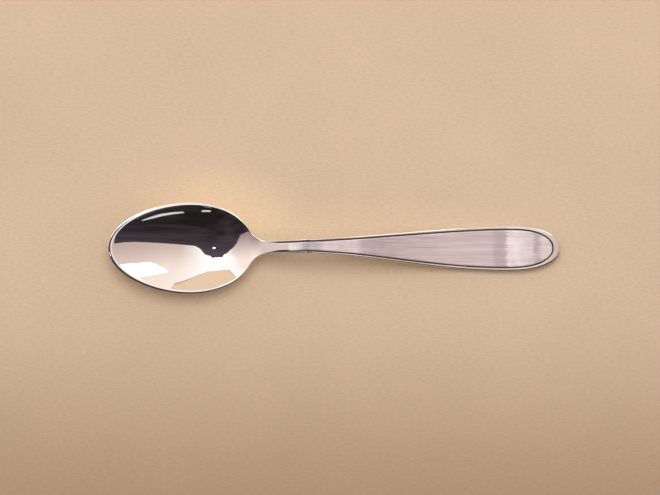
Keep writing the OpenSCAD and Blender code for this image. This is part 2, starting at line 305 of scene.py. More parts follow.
def settle(depth, k):
    """A depth that settles on 0 along a parabola of half depth k."""
    return np.where(depth <= -k, 0, np.where(depth >= k, depth, (depth + k)**2/(4*np.maximum(k, NEVER_ZERO))))


def bend(s, start, end):
    """A line that bends from level to a slope of 1 between start and end, by a smooth step of its slope."""
    t = np.clip((s - start)/(end - start), 0, 1)
    return (end - start)*(t**3 - t**4/2) + np.maximum(s - end, 0)


def hermite(t, a, slope_a, b, slope_b):
    """Cubic from a to b with the given slopes at its ends."""
    from_a = a*(2*t**3 - 3*t**2 + 1) + slope_a*(t**3 - 2*t**2 + t)
    return from_a + b*(3*t**2 - 2*t**3) + slope_b*(t**3 - t**2)


class SpoonShape:
    """The spoon's outline and heights as functions of s, the distance from the tip of the bowl, and of y."""

    def __init__(self, sizes):
        z = self.z = sizes
        egg = z.bowl_egg
        crest = 0 if egg == 0 else (math.sqrt(1 + 8*egg**2) - 1)/(4*egg)
        gain = (1 + egg*crest)*math.sqrt(1 - crest**2)
        self.outer_half = z.bowl_width/2/gain
        self.inner_half = (z.bowl_width/2 - z.rim_width)/gain
        self.neck_half = z.neck_width/2
        self.handle_half = z.handle_width/2
        self.solve_fillet()
        self.neck_start = z.bowl_length + z.shoulder_round
        self.taper_start = self.fillet_end + z.neck_length
        self.end_start = z.overall_length - z.end_length
        self.heel_start = z.bowl_length - z.heel_length
        self.rise_start = z.bowl_length - z.rise_lead
        self.arch_top = z.bowl_length + z.arch_distance
        self.bend_start = self.arch_top - z.arch_round
        self.rest_start = self.end_start - z.rest_length
        self.fan_tip = z.bowl_length/4
        self.fan_end = z.overall_length - self.handle_half
        self.fan_rate = z.end_length/(self.fan_end - self.end_start)
        u = np.linspace(-1, 1, FILL_SAMPLES)
        self.fill_peak = self.fill_share(u, 0*u).max()
        self.shoulder_settle = -z.bowl_depth*self.hollow_share(self.neck_start)
        s = np.linspace(0, self.neck_start, BACK_SAMPLES)
        self.rim_slope = z.rim_rise/z.bowl_length
        self.tip_height = -(self.rim_slope*s - self.back_depth(s, 0*s)).min()
        self.arch_height = self.tip_height + self.rim_slope*self.rise_start + z.arch_rise
        shoulder_bend = (self.rise_start + self.neck_start)/2
        arch_bend = (self.bend_start + self.arch_top)/2
        climb = z.arch_rise - self.rim_slope*(shoulder_bend - self.rise_start)
        self.neck_slope = climb/(arch_bend - shoulder_bend)

    def solve_fillet(self):
        """Finds by halving where a circle of the fillet's radius touches the egg outline and the neck."""
        z = self.z
        low, high = z.bowl_length/2, z.bowl_length*(1 - STEP)
        for _ in range(SOLVE_STEPS):
            middle = (low + high)/2
            lift = z.neck_fillet/math.sqrt(1 + self.egg_slope(middle)**2)
            if self.egg_width(middle) + lift > self.neck_half + z.neck_fillet:
                low = middle
            else:
                high = middle
        slope = self.egg_slope(low)
        self.fillet_start = low
        self.fillet_end = low - z.neck_fillet*slope/math.sqrt(1 + slope**2)

    def egg_width(self, s):
        """Half an ellipse in s whose width grows evenly along it."""
        u = 2*s/self.z.bowl_length - 1
        return self.outer_half*(1 + self.z.bowl_egg*u)*np.sqrt(np.maximum(1 - u*u, 0))

    def egg_slope(self, s):
        """Slope of the egg outline."""
        u = 2*s/self.z.bowl_length - 1
        root = np.sqrt(1 - u*u)
        egg = self.z.bowl_egg
        return self.outer_half*(egg*root - (1 + egg*u)*u/root)*2/self.z.bowl_length

    def taper(self, s):
        """Share of the handle's widening: a smooth step from the neck to the rounded end."""
        return smooth((s - self.taper_start)/(self.end_start - self.taper_start))

    def half_width(self, s):
        """Egg, fillet arc, smooth taper and superellipse end, one after the other."""
        z = self.z
        arc = np.sqrt(np.maximum(z.neck_fillet**2 - (self.fillet_end - s)**2, 0))
        end = np.clip((s - self.end_start)/z.end_length, 0, 1)
        rounded = self.handle_half*np.maximum(1 - end**z.end_fullness, 0)**(1/z.end_fullness)
        return np.where(s <= self.fillet_start, self.egg_width(np.clip(s, 0, z.bowl_length)),
                        np.where(s <= self.fillet_end, self.neck_half + z.neck_fillet - arc,
                                 np.where(s <= self.end_start,
                                          mix(self.neck_half, self.handle_half, self.taper(s)), rounded)))

    def fill_share(self, u, v):
        """Depth of a hollow over u along it and v across it.

        It is a dish, fuller at its ends, that leans to the handle.
        """
        z = self.z
        return (1 - u*u - v*v)*(1 + z.bowl_fill*u*u)/(1 - z.bowl_lean*u)**LEAN_POWER

    def egg_share(self, s, y, start, half):
        """Share of the full depth of an egg-shaped hollow: 1 at the deepest, 0 on its outline."""
        u = 2*(s - start)/(self.z.bowl_length - start) - 1
        return self.fill_share(u, y/(half*(1 + self.z.bowl_egg*u)))/self.fill_peak

    def hollow_share(self, s):
        """Share of the hollow's full depth along its middle."""
        return self.egg_share(s, 0*s, self.z.rim_tip, self.inner_half)

    def heel(self, s):
        """Smooth step from the bowl to the neck, along the bowl's back."""
        return smooth((s - self.heel_start)/(self.neck_start - self.heel_start))

    def thickness(self, s):
        """Thickness of the blank behind the bowl: a smooth step from the neck to the end."""
        t = smooth((s - self.taper_start)/(self.rest_start - self.taper_start))
        return mix(self.z.neck_thickness, self.z.handle_thickness, t)

    def back_depth(self, s, y):
        """Depth of the back below the top: the bowl's belly or the neck's stem, softly joined."""
        z = self.z
        inside = np.minimum(s, self.neck_start)
        dish = np.maximum(self.egg_share(inside, y, 0, self.outer_half), 0)
        belly = (z.bowl_depth + z.bowl_wall - z.rim_edge)*dish
        stem = (self.thickness(s) - z.rim_edge)*self.heel(s)
        return z.rim_edge + stem + settle(belly - stem, np.maximum(CRISP_ROUND, HEEL_SHARE*stem))

    def hollow_depth(self, s, y):
        """Depth of the hollow: an egg-shaped dish, then a trough that runs out softly to the neck.

        The trough is a parabola across, and its edge is soft at the bowl and crisp at the neck.
        """
        z = self.z
        heel = self.heel(s)
        dish = z.bowl_depth*self.egg_share(s, y, z.rim_tip, self.inner_half)
        middle = settle(z.bowl_depth*self.hollow_share(s), self.shoulder_settle*heel)
        trough = middle*(1 - (y/self.hollow_width(s))**2)
        return settle(np.where(s < self.heel_start, dish, trough), z.rim_soft*(1 - heel)**2)

    def hollow_width(self, s):
        """The hollow's outline, evened out over a short stretch of the shoulder, mostly towards the bowl."""
        even = SHOULDER_EVEN*self.shoulder_join(s)
        before, after = self.hollow_outline(s - even), self.hollow_outline(s + even/2)
        return (before + self.hollow_outline(s) + after)/3

    def shoulder_join(self, s):
        """Smooth step from the egg to the fillet, along the hollow's outline."""
        return smooth((s - self.heel_start)/(self.fillet_start - self.heel_start))

    def hollow_outline(self, s):
        """Half width of the hollow: an egg inside the rim, which follows the fillet over the shoulder."""
        z = self.z
        u = 2*(s - z.rim_tip)/(z.bowl_length - z.rim_tip) - 1
        egg = self.inner_half*(1 + z.bowl_egg*u)*np.sqrt(np.maximum(1 - u*u, 0))
        fillet = self.half_width(s) - mix(z.rim_width, z.border_neck, self.heel(s))
        return np.maximum(mix(egg, fillet, self.shoulder_join(s)), CRISP_ROUND)

    def top(self, s):
        """Height of the top: a straight rim and neck with two bends, then a cubic down to the rest.

        The rounded end lifts along a sine.
        """
        z = self.z
        fall = np.clip((s - self.arch_top)/(self.rest_start - self.arch_top), 0, 1)
        end = np.clip((s - self.end_start)/z.end_length, 0, 1)
        up = (self.tip_height + self.rim_slope*s
              + (self.neck_slope - self.rim_slope)*bend(s, self.rise_start, self.neck_start)
              - self.neck_slope*bend(s, self.bend_start, self.arch_top))
        down = hermite(fall, self.arch_height, 0, z.handle_thickness, 0) + z.tip_lift*np.sin(QUARTER*end)
        return np.where(s <= self.arch_top, up, down)

    def foot(self, s):
        """Where the ray to the outline at s leaves the middle plane: it fans round the tip and the end."""
        z = self.z
        turn = np.arccos(np.clip(1 - s/self.neck_start, 0, 1))/QUARTER
        left = np.clip((z.overall_length - s)/z.end_length, 0, 1)
        end = self.fan_end - (self.fan_end - self.end_start)*left**self.fan_rate
        return np.where(s < self.neck_start, mix(self.fan_tip, self.neck_start, turn**FAN_POWER),
                        np.where(s < self.end_start, s, end))

    def ray(self, s):
        """Foot, direction and length of the ray in plan that meets the outline at s."""
        foot = self.foot(s)
        along, across = s - foot, self.half_width(s)
        reach = np.hypot(along, across)
        return foot, along/reach, across/reach, reach

    def border(self, s):
        """Width of the domed rim or border along a ray, between its widths at the side and the tip."""
        z = self.z
        _, along, across, _ = self.ray(s)
        def width(rim, border):
            return np.where(s < self.neck_start, mix(rim*RIM_DOME, z.border_neck, self.heel(s)),
                            mix(z.border_neck, border, self.taper(s)))
        return width(z.rim_width, z.border_side)*across**2 + width(z.rim_tip, z.border_tip)*along**2

    def drop(self, s):
        """Height that the rim or border loses towards its outer edge."""
        drop = mix(self.z.rim_drop, self.z.border_drop, self.heel(s))
        return np.minimum(drop, THICKEST_ROUND*self.thickness(s))

    def edge_round(self, s):
        """Radius along the lower edge."""
        radius = mix(LOWER_ROUND, self.z.back_round, self.heel(s))
        return np.minimum(radius, THICKEST_ROUND*self.thickness(s))

    def line_growth(self, s):
        """Smooth step over the stretch behind the shoulder on which the dark line grows."""
        return smooth((s - self.neck_start)/self.z.line_start)

    def grown(self, s):
        """Share of the dark line's full width, from a small start behind the shoulder."""
        return mix(LINE_SEED, 1, self.line_growth(s))

    def rim_reach(self, s):
        """Distance along each ray to the inner edge of the rim, found by halving."""
        foot, along, across, reach = self.ray(s)
        low, high = np.zeros_like(reach), reach.copy()
        for _ in range(SOLVE_STEPS):
            middle = (low + high)/2
            at = foot + middle*along
            inside = (at > self.z.rim_tip) & (middle*across < self.hollow_width(at))
            low, high = np.where(inside, middle, low), np.where(inside, high, middle)
        return low

    def plan(self, s, t):
        """Point in plan at the distance t along the ray at s."""
        foot, along, across, _ = self.ray(s)
        return foot + t*along, t*across

    def place(self, s, t, depth):
        """Point in space at the distance t along the ray at s, at a depth below the top."""
        at, y = self.plan(s, t)
        return np.stack([at - self.z.overall_length/2, y + 0*at, self.top(at) - depth], -1)

    def dome(self, s, a, inset=0):
        """Quarter round over the border, from its inner edge at a = 0 to the outline at a = 90 degrees.

        It is an ellipse on the rim, and flatter with a tighter edge on the handle.
        """
        reach = self.ray(s)[3]
        power = mix(1, BORDER_SQUARE, self.heel(s)**SQUARE_POWER)
        out, down = np.clip(np.sin(a), 0, 1)**power, np.clip(np.cos(a), 0, 1)**power
        return self.place(s, reach - (self.border(s) - inset)*(1 - out), self.drop(s)*(1 - down))

    def lower_edge(self, s, a):
        """Quarter round from the outline at a = 0 on to the back at a = 90 degrees."""
        reach, radius = self.ray(s)[3], self.edge_round(s)
        t = reach - radius*(1 - np.cos(a))
        return self.place(s, t, self.back_depth(*self.plan(s, t)) - radius*(1 - np.sin(a)))

    def inner_edge(self, s, a):
        """Quarter round of the border's inner edge, from the groove's wall at a = 0 to the top."""
        radius = self.z.border_round*self.grown(s)
        t = self.ray(s)[3] - self.border(s) + radius*(1 - np.cos(a))
        return self.place(s, t, radius*(1 - np.sin(a)))

    def panel_edge(self, s, a):
        """Quarter ellipse of the panel's upper edge, from the top at a = 0 to the groove's wall."""
        wide, deep = self.z.panel_round*self.grown(s), self.z.panel_drop*self.grown(s)
        return self.place(s, self.panel_reach(s) - wide*(1 - np.sin(a)), deep*(1 - np.cos(a)))

    def panel_reach(self, s):
        """Distance along each ray to the panel's wall."""
        return self.ray(s)[3] - self.border(s) - self.z.line_width*self.grown(s)

    def height_normals(self, points, depth, sign):
        """Normals of a surface that lies at a depth below the top, from its slopes along s and y."""
        s, y = points[..., 0] + self.z.overall_length/2, points[..., 1]
        def height(s, y):
            return self.top(s) - depth(s, y)
        slope_s = (height(s + TINY, y) - height(s - TINY, y))/(2*TINY)
        slope_y = (height(s, y + TINY) - height(s, y - TINY))/(2*TINY)
        return unit(np.stack([-slope_s, -slope_y, np.ones_like(s)], -1)*sign)


def unit(v):
    """Vectors of length 1."""
    return v/np.maximum(np.linalg.norm(v, axis=-1, keepdims=True), NEVER_ZERO)


def turned_normals(surface, station, p, a, outward=1, upward=1):
    """Normals of a surface over the station p and the profile's angle a: the cross product of its two slopes.

    On the whole they face out from the middle plane and up, or the other way for -1.
    """
    low, high = np.clip(p - STEP, 0, None), p + STEP
    along = surface(station(high), a) - surface(station(low), a)
    down = surface(station(p), a + STEP) - surface(station(p), a - STEP)
    n = unit(np.cross(down, along))
    return n*np.sign((n*[0, outward, upward]).sum())


def columns(count, start=0.0, end=1.0, skip=0):
    """Even steps from start to end, as a row, without the first few."""
    return np.linspace(start, end, count + 1)[None, skip:]


def back_rows(shape, s, steps):
    """Points and normals of the back, along each ray from its lower edge to the middle."""
    t = (shape.ray(s)[3] - shape.edge_round(s))*columns(steps, 1, 0, 1)
    points = shape.place(s, t, shape.back_depth(*shape.plan(s, t)))
    return points, shape.height_normals(points, shape.back_depth, -1)


def bowl_half(shape):
    """The +Y half of the bowl, on rays from the neck to the tip.

    Each ray runs up the hollow, over the rim and along the back.
    """
    p = np.linspace(1, 0, BOWL_RAYS + 1)[:, None]
    def station(p):
        return shape.neck_start*(1 - np.cos(QUARTER*p))
    s = station(p)
    land = shape.ray(s)[3] - shape.border(s)
    edge = mix(shape.rim_reach(s), SHOULDER_REACH*land, shape.heel(s))
    zone = np.minimum(RIM_ZONE*shape.z.rim_soft, ZONE_SHARE*(land - edge))
    t = np.concatenate([(edge - zone)*columns(HOLLOW_STEPS), edge + zone*columns(RIM_STEPS, -1, 1, 1),
                        mix(edge + zone, land, columns(LAND_STEPS, 0, 1, 1))], 1)
    top = shape.place(s, t, shape.hollow_depth(*shape.plan(s, t)))
    a, b = columns(RIM_DOME_STEPS, 0, QUARTER, 1), columns(RIM_EDGE_STEPS, 0, QUARTER)
    back, down = back_rows(shape, s, BOWL_BACK_STEPS)
    points = np.concatenate([top, shape.dome(s, a), shape.lower_edge(s, b), back], 1)
    normals = np.concatenate([shape.height_normals(top, shape.hollow_depth, 1),
                              turned_normals(shape.dome, station, p, a),
                              turned_normals(shape.lower_edge, station, p, b, 1, -1), down], 1)
    return points, normals


def frame_half(shape, station, p):
    """The +Y half of the neck or handle: the panel's pocket, the border, the lower edge and the back."""
    z = shape.z
    s = station(p)
    wall = shape.ray(s)[3] - shape.border(s)
    pocket = shape.place(s, wall*columns(1), z.panel_thickness)
    def dome(s, a):
        return shape.dome(s, a, z.border_round*shape.grown(s))
    a, b = columns(BORDER_DOME_STEPS, 0, QUARTER, 1), columns(LOWER_EDGE_STEPS, 0, QUARTER)
    c = columns(INNER_EDGE_STEPS, 0, QUARTER)
    back, down = back_rows(shape, s, HANDLE_BACK_STEPS)
    points = np.concatenate([pocket, shape.inner_edge(s, c), dome(s, a), shape.lower_edge(s, b), back], 1)
    normals = np.concatenate([np.zeros_like(pocket) + [0, 0, 1],
                              turned_normals(shape.inner_edge, station, p, c, -1),
                              turned_normals(dome, station, p, a),
                              turned_normals(shape.lower_edge, station, p, b, 1, -1), down], 1)
    return points, normals


def panel_half(shape, station, p):
    """The +Y half of the panel: its top, its rounded edge, its wall and its underside."""
    z = shape.z
    s = station(p)
    reach = shape.panel_reach(s)
    def flat(s, y):
        return 0*s
    top = shape.place(s, (reach - z.panel_round*shape.grown(s))*columns(PANEL_STEPS), 0*s)
    a = columns(PANEL_EDGE_STEPS, 0, QUARTER, 1)
    under = shape.place(s, reach*columns(1, 1, 0), z.panel_thickness)
    points = np.concatenate([top, shape.panel_edge(s, a), under], 1)
    normals = np.concatenate([shape.height_normals(top, flat, 1),
                              turned_normals(shape.panel_edge, station, p, a),
                              np.zeros_like(under) + [0, 0, -1]], 1)
    return points, normals


def line_half(shape, station, p):
    """The +Y half of the line: a narrow strip with a hollow top, as closed sections."""
    z = shape.z
    s = station(p)
    inner, outer = shape.panel_reach(s), shape.ray(s)[3] - shape.border(s)
    v = columns(LINE_STEPS)
    hollow = 1 + LINE_HOLLOW*(1 - (2*v - 1)**2)
    top = shape.place(s, mix(inner, outer, v), z.line_depth*shape.line_growth(s)*hollow + TINY)
    under = shape.place(s, mix(inner, outer, columns(1, 1, 0)), z.panel_thickness)
    return np.concatenate([top, under], 1)


def mirrored(v):
    """The same vectors on the other side of the middle plane."""
    return v*[1, -1, 1]


def quads(index):
    """Faces of a grid of vertex numbers."""
    return np.stack([index[:-1, :-1], index[:-1, 1:], index[1:, 1:], index[1:, :-1]], -1).reshape(-1, 4)


def volume(points, faces):
    """Signed volume of a closed mesh of four-sided faces."""
    a, b, c, d = (points[faces[:, k]] for k in range(4))
    return (np.einsum("ij,ij->i", a, np.cross(b, c)) + np.einsum("ij,ij->i", a, np.cross(c, d))).sum()


def add_piece(name, points, faces, caps, normals, node, material):
    """Puts one closed piece into the scene in place of its CAD node, turned so that its faces point outwards.

    Its caps get flat normals, and its other faces the given ones.
    """
    if volume(points, faces) < 0:
        faces, caps = faces[:, ::-1], [c[::-1] for c in caps]
    used, order = np.unique(np.concatenate([faces.ravel(), *caps]), return_inverse=True)
    points = points[used]
    faces = order[:faces.size].reshape(faces.shape)
    ends = np.split(order[faces.size:], np.cumsum([len(c) for c in caps])[:-1])
    mesh = bpy.data.meshes.new(name)
    mesh.from_pydata(points.tolist(), [], faces.tolist() + [e.tolist() for e in ends])
    mesh.polygons.foreach_set("use_smooth", np.ones(len(mesh.polygons), bool))
    loops = np.concatenate([faces.ravel(), *ends])
    if normals is not None:
        flat = [np.tile(cap_normal(points[e]), (len(e), 1)) for e in ends]
        mesh.normals_split_custom_set(np.concatenate([normals[used][faces.ravel()], *flat]).tolist())
    plan = mesh.uv_layers.new(name="plan")
    box = points.max(0) - points.min(0)
    plan.data.foreach_set("uv", ((points[loops] - points.min(0))/box.max())[:, :2].ravel())
    mesh.update()
    piece = bpy.data.objects.new(name, mesh)
    bpy.context.scene.collection.objects.link(piece)
    mesh.materials.append(material)
    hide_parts(node)
    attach(piece, "root")


def cap_normal(loop):
    """Normal of a flat loop of points, by Newell's sum."""
    return unit(np.cross(loop, np.roll(loop, -1, 0)).sum(0))


def add_half_solid(name, half, tip, node, material):
    """A solid from its +Y half, whose rows start and end on the middle plane.

    The first row is a flat end, and the last one the tip or another flat end.
    """
    points, normals = half
    rows, count = points.shape[:2]
    right = np.arange(rows*count).reshape(rows, count)
    left = right + rows*count
    left[:, 0], left[:, -1] = right[:, 0], right[:, -1]
    if tip:
        left[-1] = right[-1]
        points[-1, :, 1] = 0
        normals[-1, :, 1] = 0
    points[:, [0, -1], 1] = 0
    normals[:, [0, -1], 1] = 0
    both = np.concatenate([points, mirrored(points)]).reshape(-1, 3)
    shading = unit(np.concatenate([normals, mirrored(normals)]).reshape(-1, 3))
    faces = np.concatenate([quads(right), quads(left)[:, ::-1]])
    loop = np.concatenate([right[0], left[0, -2:0:-1]])
    caps = [loop[::-1]] if tip else [loop[::-1], np.concatenate([right[-1], left[-1, -2:0:-1]])]
    add_piece(name, both, faces, caps, shading, node, material)


def add_ring_solid(name, half, node, material):
    """A solid along closed sections, from one flat end round the handle's end to the other."""
    whole = np.concatenate([half, mirrored(half[-2::-1])])
    rows, count = whole.shape[:2]
    index = np.arange(rows*count).reshape(rows, count)
    faces = quads(np.concatenate([index, index[:, :1]], 1))
    add_piece(name, whole.reshape(-1, 3), faces, [index[0][::-1], index[-1]], None, node, material)


def node(tree, kind, inputs=None, **settings):
    """Adds a node, sets what it is given, and links the inputs that come from other nodes."""
    made = tree.nodes.new(kind)
    for key, value in settings.items():
        setattr(made, key, value)
    for key, value in (inputs or {}).items():
        if isinstance(value, bpy.types.NodeSocket):
            tree.links.new(value, made.inputs[key])
        else:
            made.inputs[key].default_value = value
    return made


def start_material(name):
    """An empty node material, and its tree."""
    material = bpy.data.materials.new(name)
    material.use_nodes = True
    material.node_tree.nodes.clear()
    return material, material.node_tree


def finished(material, kind, inputs):
    """The material with one shader, linked to its output."""
    tree = material.node_tree
    out = node(tree, "ShaderNodeOutputMaterial")
    tree.links.new(node(tree, kind, inputs).outputs[0], out.inputs["Surface"])
    return material


def place_on(tree):
    """Object coordinates."""
    return node(tree, "ShaderNodeTexCoord").outputs["Object"]


def axes(tree, place):
    """The X, Y and Z parts of a place."""
    return node(tree, "ShaderNodeSeparateXYZ", {"Vector": place}).outputs


def mapped(tree, place, **settings):
    """A place that a Mapping node moves, turns or scales."""
    return node(tree, "ShaderNodeMapping", {"Vector": place, **settings}).outputs["Vector"]


def streaks(tree, waves, detail=3.0, turn=0.0):
    """Noise on Object coordinates, drawn out by unequal waves to the metre and turned about Z."""
    turned = mapped(tree, place_on(tree), Rotation=(0, 0, turn))
    drawn = mapped(tree, turned, Scale=waves)
    return node(tree, "ShaderNodeTexNoise", {"Vector": drawn, "Scale": 1.0, "Detail": detail}).outputs["Fac"]


def ranged(tree, value, window, low=0.0, high=1.0, **settings):
    """A value mapped from a window to a range, and held at its ends."""
    return node(tree, "ShaderNodeMapRange", {"Value": value, "From Min": window[0], "From Max": window[1],
                                             "To Min": low, "To Max": high}, **settings).outputs["Result"]


def band(tree, value, start, full, last, end):
    """1 from full to last, falling to 0 at start and end."""
    rise, fall = ranged(tree, value, (start, full)), ranged(tree, value, (last, end), 1.0, 0.0)
    return maths(tree, "MINIMUM", rise, fall)


def blended(tree, share, a, b):
    """A colour between a and b."""
    a, b = (c if isinstance(c, bpy.types.NodeSocket) else (*c, 1) for c in (a, b))
    made = node(tree, "ShaderNodeMix", {"Factor": share, MIX_A: a, MIX_B: b}, data_type="RGBA")
    return made.outputs[MIX_RESULT]


def maths(tree, operation, a, b):
    """One step of arithmetic."""
    return node(tree, "ShaderNodeMath", {0: a, 1: b}, operation=operation).outputs["Value"]


def plus(tree, a, b):
    """Sum of two values."""
    return maths(tree, "ADD", a, b)


def times(tree, a, b):
    """Product of two values."""
    return maths(tree, "MULTIPLY", a, b)


def relief(tree, height, strength, distance):
    """Normals of a surface with a fine relief."""
    made = node(tree, "ShaderNodeBump", {"Height": height, "Strength": strength, "Distance": distance})
    return made.outputs["Normal"]


def polished_metal(name, tint, roughness, haze, grain):
    """Polished steel: clouds, polishing lines and hairlines dull its gloss, and the lines mark it."""
    material, tree = start_material(name)
    cloud = streaks(tree, CLOUD_WAVES, detail=4)
    lines = streaks(tree, POLISH_WAVES, detail=4, turn=0.06)
    hair = streaks(tree, HAIR_WAVES, detail=2, turn=-0.7)
    cloudy, lined, scratched = (0.35, 0.7), (0.5, 0.8), (0.68, 0.74)
    dulled = [c*0.965 for c in tint]
    base = blended(tree, ranged(tree, cloud, cloudy), dulled, tint)
    gloss = ranged(tree, cloud, cloudy, roughness*0.75, roughness*1.1)
    for marks, window in ((lines, lined), (hair, scratched)):
        gloss = plus(tree, gloss, ranged(tree, marks, window, 0.0, haze))
    return finished(material, "ShaderNodeBsdfPrincipled",
                    {"Base Color": base, "Metallic": 1.0, "Roughness": gloss,
                     "Normal": relief(tree, lines, strength=grain, distance=0.00002)})


def brushed_metal(name, look, sizes):
    """Satin steel brushed along X: streaks in colour, gloss and surface, from a ragged edge behind the neck.

    Some stretches are lighter or darker, partly from the brushing and partly as painted reflections,
    each with patches in it, and the lighter ones have more haze.
    """
    material, tree = start_material(name)
    fine, broad = streaks(tree, FINE_WAVES), streaks(tree, BROAD_WAVES)
    marks = plus(tree, times(tree, fine, 0.6), times(tree, broad, 0.4))
    uneven, fade = 0.0004, 0.0002
    ragged = plus(tree, axes(tree, place_on(tree))["X"], ranged(tree, broad, (0.3, 0.7), -uneven, uneven))
    start = look.brushing_start - sizes.overall_length/2
    brushed = ranged(tree, ragged, (start - fade, start + fade))
    # Lighter and darker stretches: partly brushing tones, partly painted reflections
    tone = 0.0
    for *edges, amount in PANEL_TONES_AND_REFLECTIONS:
        stretch = band(tree, ragged, *(start + edge for edge in edges))
        tone = plus(tree, times(tree, stretch, amount), tone)
    patches = ranged(tree, streaks(tree, PATCH_WAVES), (0.35, 0.65), 0.55, 1.35)
    tone = times(tree, tone, patches)
    light = plus(tree, ranged(tree, marks, (0.38, 0.62), 0.0, 0.95), times(tree, tone, 0.6))
    satin = blended(tree, light, look.panel_shade, look.panel_colour)
    gloss = ranged(tree, marks, (0.35, 0.65), look.panel_roughness*1.15, look.panel_roughness*0.85)
    bare = ranged(tree, brushed, (0.0, 1.0), look.mirror_roughness, 0.0)
    haze = times(tree, brushed, ranged(tree, tone, (0.0, 2.0), look.panel_matt, 3*look.panel_matt))
    grain = node(tree, "ShaderNodeTangent", direction_type="UV_MAP", uv_map="plan").outputs["Tangent"]
    return finished(material, "ShaderNodeBsdfPrincipled",
                    {"Base Color": blended(tree, brushed, look.mirror_colour, satin),
                     "Metallic": maths(tree, "SUBTRACT", 1.0, haze),
                     "Roughness": plus(tree, times(tree, gloss, brushed), bare),
                     "Normal": relief(tree, times(tree, marks, brushed), strength=0.25, distance=0.00003),
                     "Tangent": grain,
                     "Anisotropic": look.panel_grain, "Anisotropic Rotation": 0.25})


def darkened_metal(name, tint):
    """Darkened steel in the groove: nearly black, with rubbed lighter specks."""
    material, tree = start_material(name)
    specks = streaks(tree, SPECK_WAVES)
    rubbed = [c*2.2 for c in tint]
    return finished(material, "ShaderNodeBsdfPrincipled",
                    {"Base Color": blended(tree, ranged(tree, specks, (0.55, 0.8)), tint, rubbed),
                     "Metallic": 0.4, "Roughness": ranged(tree, specks, (0.3, 0.7), 0.55, 0.4)})


def thrown_light(tree, sizes):
    """Share of the light that the polished spoon throws on the paper behind it, painted into the paper's
    colour.

    It fades with the distance from the bowl, counted in half bowls, and towards the bowl's tip. Beside the
    handle it is weaker, and fades with the distance from the middle plane.
    """
    place = place_on(tree)
    x, y, _ = axes(tree, place)
    long, wide = 2/sizes.bowl_length, 2/sizes.bowl_width
    egg = mapped(tree, place, Location=(sizes.overall_length/2*long - 1, 0, 0), Scale=(long, wide, 0))
    away = node(tree, "ShaderNodeVectorMath", {0: egg}, operation="LENGTH").outputs["Value"]
    from_bowl, from_tip = (1.0, 2.1), (-0.056, -0.032)
    from_handle, along_handle = (0.002, 0.013), (-0.035, -0.02, 0.02, 0.052)
    bowl = times(tree, ranged(tree, away, from_bowl, 1.0, 0.0), ranged(tree, x, from_tip, 0.05, 1.0))
    handle = times(tree, ranged(tree, y, from_handle, 0.7, 0.0), band(tree, x, *along_handle))
    behind = ranged(tree, y, (0.0, 0.006))
    return times(tree, maths(tree, "MAXIMUM", bowl, handle), behind)


def paper(name, stage, sizes):
    """Matt paper with fine fibres that run mostly along X, with painted shade in front and painted light from
    the spoon behind it.
    """
    material, tree = start_material(name)
    # The darkening towards the front is painted shade
    front = (-0.075, -0.005)
    lit = ranged(tree, axes(tree, place_on(tree))["Y"], front, interpolation_type="SMOOTHSTEP")
    tint = blended(tree, lit, stage.painted_floor_shade, stage.floor_colour)
    # Painted glow of light thrown by the spoon on the paper behind it
    tint = blended(tree, thrown_light(tree, sizes), tint, stage.painted_floor_glow)
    fibres, stains = streaks(tree, FIBRE_WAVES, detail=4), streaks(tree, STAIN_WAVES)
    tone = plus(tree, times(tree, fibres, 0.7), times(tree, stains, 0.3))
    shade = ranged(tree, tone, (0.3, 0.7), 0.91, 1.09)
    base = node(tree, "ShaderNodeVectorMath", {0: tint, 1: shade}, operation="MULTIPLY").outputs["Vector"]
    return finished(material, "ShaderNodeBsdfPrincipled",
                    {"Base Color": base, "Roughness": 0.9, "Specular IOR Level": 0.15,
                     "Normal": relief(tree, fibres, strength=0.12, distance=0.0001)})


def cloth(name, tint, fold):
    """Dark cloth with soft folds, nearly black in front and lighter overhead."""
    material, tree = start_material(name)
    folds = ranged(tree, streaks(tree, FOLD_WAVES, detail=2), (0.3, 0.7), -0.3, 0.3)
    overhead = ranged(tree, plus(tree, axes(tree, place_on(tree))["Y"], folds), (-0.9, 0.3))
    colours = blended(tree, overhead, tint, fold)
    return finished(material, "ShaderNodeEmission", {"Color": colours, "Strength": 1.0})


def room_light(name, stage, centre):
    """Light of the studio by direction, each part blended over the one before.

    It grows lighter from overhead to the back, is shaded at the right and white from the middle on. The left
    wall darkens to the front, and has a white glow where it meets the back.
    """
    material, tree = start_material(name)
    x, y, _ = axes(tree, mapped(tree, place_on(tree), Location=[-c for c in centre]))
    back, right, white, left = (0.0, 0.78), (0.3, 0.8), (0.22, -0.12), (-0.52, -0.68)
    left_wall = blended(tree, ranged(tree, y, (-0.45, 0.5)), stage.front_colour, stage.left_colour)
    glow = times(tree, band(tree, x, -0.74, -0.59, -0.5, -0.4), ranged(tree, y, (0.22, 0.42)))
    tint = blended(tree, ranged(tree, y, back), stage.ceiling_colour, stage.wall_colour)
    tint = blended(tree, ranged(tree, x, right, 0.0, 0.6), tint, stage.shade_colour)
    tint = blended(tree, ranged(tree, x, white), tint, stage.card_colour)
    tint = blended(tree, ranged(tree, x, left), tint, left_wall)
    tint = blended(tree, glow, tint, stage.card_colour)
    return finished(material, "ShaderNodeEmission", {"Color": tint, "Strength": stage.room_level})


def glowing(name, tint, level):
    """An evenly lit card."""
    material, _ = start_material(name)
    return finished(material, "ShaderNodeEmission", {"Color": (*tint, 1), "Strength": level})


def add_stage_piece(name, points, material, seen):
    """A sheet of the studio from a grid of points. Only the floor is seen by the camera itself."""
    rows, count = points.shape[:2]
    index = np.arange(rows*count).reshape(rows, count)
    mesh = bpy.data.meshes.new(name)
    mesh.from_pydata(points.reshape(-1, 3).tolist(), [], quads(index).tolist())
    mesh.polygons.foreach_set("use_smooth", np.ones(len(mesh.polygons), bool))
    mesh.materials.append(material)
    piece = bpy.data.objects.new(name, mesh)
    piece.visible_camera = seen
    bpy.context.scene.collection.objects.link(piece)
    return piece


